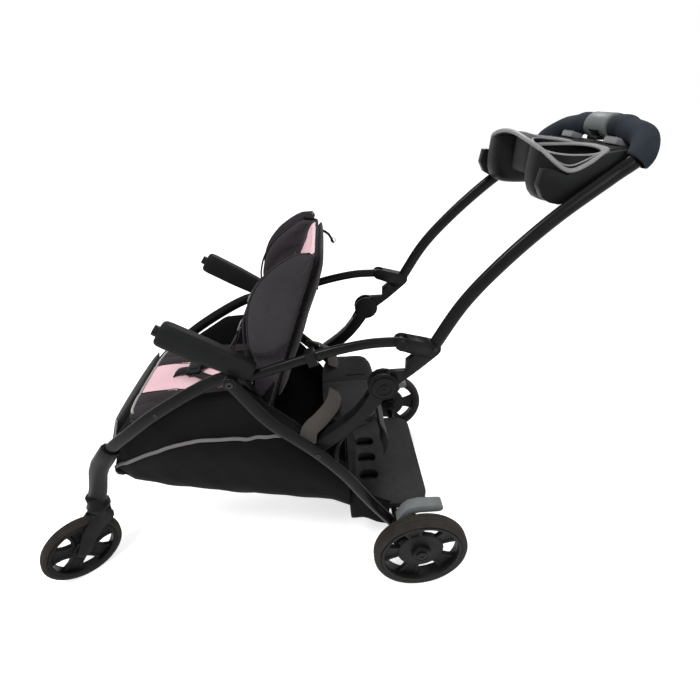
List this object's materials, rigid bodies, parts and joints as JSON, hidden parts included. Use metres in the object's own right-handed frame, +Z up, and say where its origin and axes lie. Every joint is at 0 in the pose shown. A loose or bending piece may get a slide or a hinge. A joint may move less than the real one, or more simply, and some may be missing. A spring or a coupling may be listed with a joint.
{
  "type": "sit and stand stroller",
  "caption": "Folding stroller with a padded front seat, a rear jump seat, a standing platform, a fabric basket, swivel front wheels and a parent tray at the bowed handle",
  "frame": {"origin": "on the floor, under the middle of the bounding box", "axes": "+X is the stroller's left side, -Y its front, +Z up; it is symmetric about the plane X = 0"},
  "size_m": [0.606, 1.3736, 1.1],
  "materials": {
    "fabric_black": "woven polyester, black",
    "fabric_dark": "woven polyester, dark warm grey",
    "fabric_pink": "woven polyester, pale pink",
    "foam_slate": "closed-cell foam",
    "frame_black": "satin black powder coat",
    "plastic_black": "moulded charcoal black, fine texture",
    "plastic_grey": "moulded mid grey",
    "tyre_black": "foam-filled tread, worn",
    "webbing": "woven strap, grey brown"
  },
  "bodies": {
    "front_frame": {"front_leg_left": "frame_black", "front_leg_right": "frame_black", "armrest_left": "plastic_black", "armrest_right": "plastic_black", "caster_socket_left": "plastic_black", "caster_socket_right": "plastic_black", "seat_front_tube": "frame_black", "seat_board": "plastic_black", "seat_pad": "fabric_pink", "calf_panel": "fabric_dark", "seat_hanger_left": "frame_black", "seat_hanger_right": "frame_black", "basket": "fabric_black"},
    "rear_frame": {"rear_leg_left": "frame_black", "rear_leg_right": "frame_black", "rear_axle": "frame_black", "rear_housing_left": "plastic_black", "rear_housing_right": "plastic_black", "platform": "plastic_black", "platform_tube": "frame_black", "jump_seat_tube": "frame_black", "jump_seat_board": "plastic_black", "jump_seat_pad": "fabric_dark", "rear_flap": "fabric_dark", "seat_webbing_left": "webbing", "seat_webbing_right": "webbing"},
    "side_bars": {"side_bar_left": "frame_black", "side_bar_right": "frame_black", "bar_clamp_left": "plastic_black", "bar_clamp_right": "plastic_black"},
    "handle": {"handle_bracket_left": "plastic_black", "handle_bracket_right": "plastic_black", "handle_tube": "frame_black", "grip_left": "foam_slate", "grip_right": "foam_slate", "release_housing": "plastic_grey", "parent_tray": "plastic_black"},
    "lower_links": {"lower_link_left": "plastic_black", "lower_link_right": "plastic_black"},
    "backrest": {"backrest_board": "plastic_black", "backrest_pad": "fabric_dark", "harness_strap_left": "fabric_dark", "harness_strap_right": "fabric_dark", "harness_buckle": "plastic_black", "zip_pull": "plastic_black"},
    "trigger": {"fold_trigger": "plastic_black"},
    "caster_left": {"caster_fork_left": "plastic_black"},
    "front_wheel_left": {"front_tyre_left": "tyre_black", "front_rim_left": "plastic_black"},
    "rear_wheel_left": {"rear_tyre_left": "tyre_black", "rear_rim_left": "plastic_black"},
    "brake_left": {"brake_lever_left": "plastic_grey"},
    "button_left": {"tray_button_left": "plastic_black"},
    "caster_right": {"caster_fork_right": "plastic_black"},
    "front_wheel_right": {"front_tyre_right": "tyre_black", "front_rim_right": "plastic_black"},
    "rear_wheel_right": {"rear_tyre_right": "tyre_black", "rear_rim_right": "plastic_black"},
    "brake_right": {"brake_lever_right": "plastic_grey"},
    "button_right": {"tray_button_right": "plastic_black"}
  },
  "joints": [
    {"name": "fold", "type": "hinge", "parent": "front_frame", "child": "rear_frame", "pos_m": [0, -0.15582, 0.611], "axis": [-1, 0, 0], "range_deg": [0, 45], "deforming": ["basket", "rear_flap"]},
    {"name": "bars_fold", "type": "hinge", "parent": "front_frame", "child": "side_bars", "pos_m": [0, -0.12282, 0.604], "axis": [-1, 0, 0], "range_deg": [0, 54.1]},
    {"name": "handle_fold", "type": "hinge", "parent": "side_bars", "child": "handle", "pos_m": [0, 0.19818, 0.672], "axis": [1, 0, 0], "range_deg": [0, 21.9]},
    {"name": "links_fold", "type": "hinge", "parent": "rear_frame", "child": "lower_links", "pos_m": [0, 0.01168, 0.40062], "axis": [-1, 0, 0], "range_deg": [0, 11]},
    {"name": "recline", "type": "hinge", "parent": "front_frame", "child": "backrest", "pos_m": [0, -0.09582, 0.463], "axis": [-1, 0, 0], "range_deg": [0, 25], "deforming": ["harness_strap_left", "harness_strap_right"]},
    {"name": "trigger_pull", "type": "slide", "parent": "handle", "child": "trigger", "axis": [0, 0, 1], "range_m": [0, 0.004], "stiffness_N_per_m": 400},
    {"name": "swivel_left", "type": "hinge", "parent": "front_frame", "child": "caster_left", "pos_m": [0.138, -0.55882, 0.1], "axis": [0, 0, 1], "continuous": true},
    {"name": "front_spin_left", "type": "hinge", "parent": "caster_left", "child": "front_wheel_left", "pos_m": [0.17562, -0.6106, 0.089], "axis": [-0.809, -0.5878, 0], "continuous": true},
    {"name": "rear_spin_left", "type": "hinge", "parent": "rear_frame", "child": "rear_wheel_left", "pos_m": [0.286, 0.25318, 0.118], "axis": [1, 0, 0], "continuous": true},
    {"name": "brake_press_left", "type": "hinge", "parent": "rear_frame", "child": "brake_left", "pos_m": [0.247, 0.20618, 0.195], "axis": [-1, 0, 0], "range_deg": [0, 18]},
    {"name": "button_press_left", "type": "slide", "parent": "front_frame", "child": "button_left", "axis": [0, 0.8309, -0.5564], "range_m": [0, 0.006], "stiffness_N_per_m": 600},
    {"name": "swivel_right", "type": "hinge", "parent": "front_frame", "child": "caster_right", "pos_m": [-0.138, -0.55882, 0.1], "axis": [0, 0, 1], "continuous": true},
    {"name": "front_spin_right", "type": "hinge", "parent": "caster_right", "child": "front_wheel_right", "pos_m": [-0.17562, -0.6106, 0.089], "axis": [-0.809, 0.5878, 0], "continuous": true},
    {"name": "rear_spin_right", "type": "hinge", "parent": "rear_frame", "child": "rear_wheel_right", "pos_m": [-0.286, 0.25318, 0.118], "axis": [1, 0, 0], "continuous": true},
    {"name": "brake_press_right", "type": "hinge", "parent": "rear_frame", "child": "brake_right", "pos_m": [-0.247, 0.20618, 0.195], "axis": [-1, 0, 0], "range_deg": [0, 18]},
    {"name": "button_press_right", "type": "slide", "parent": "front_frame", "child": "button_right", "axis": [0, 0.8309, -0.5564], "range_m": [0, 0.006], "stiffness_N_per_m": 600}
  ],
  "couplings": [
    {"joint": "bars_fold", "follows": "fold", "ratio": 1.2},
    {"joint": "handle_fold", "follows": "fold", "ratio": 0.485},
    {"joint": "links_fold", "follows": "fold", "ratio": 0.242}
  ]
}
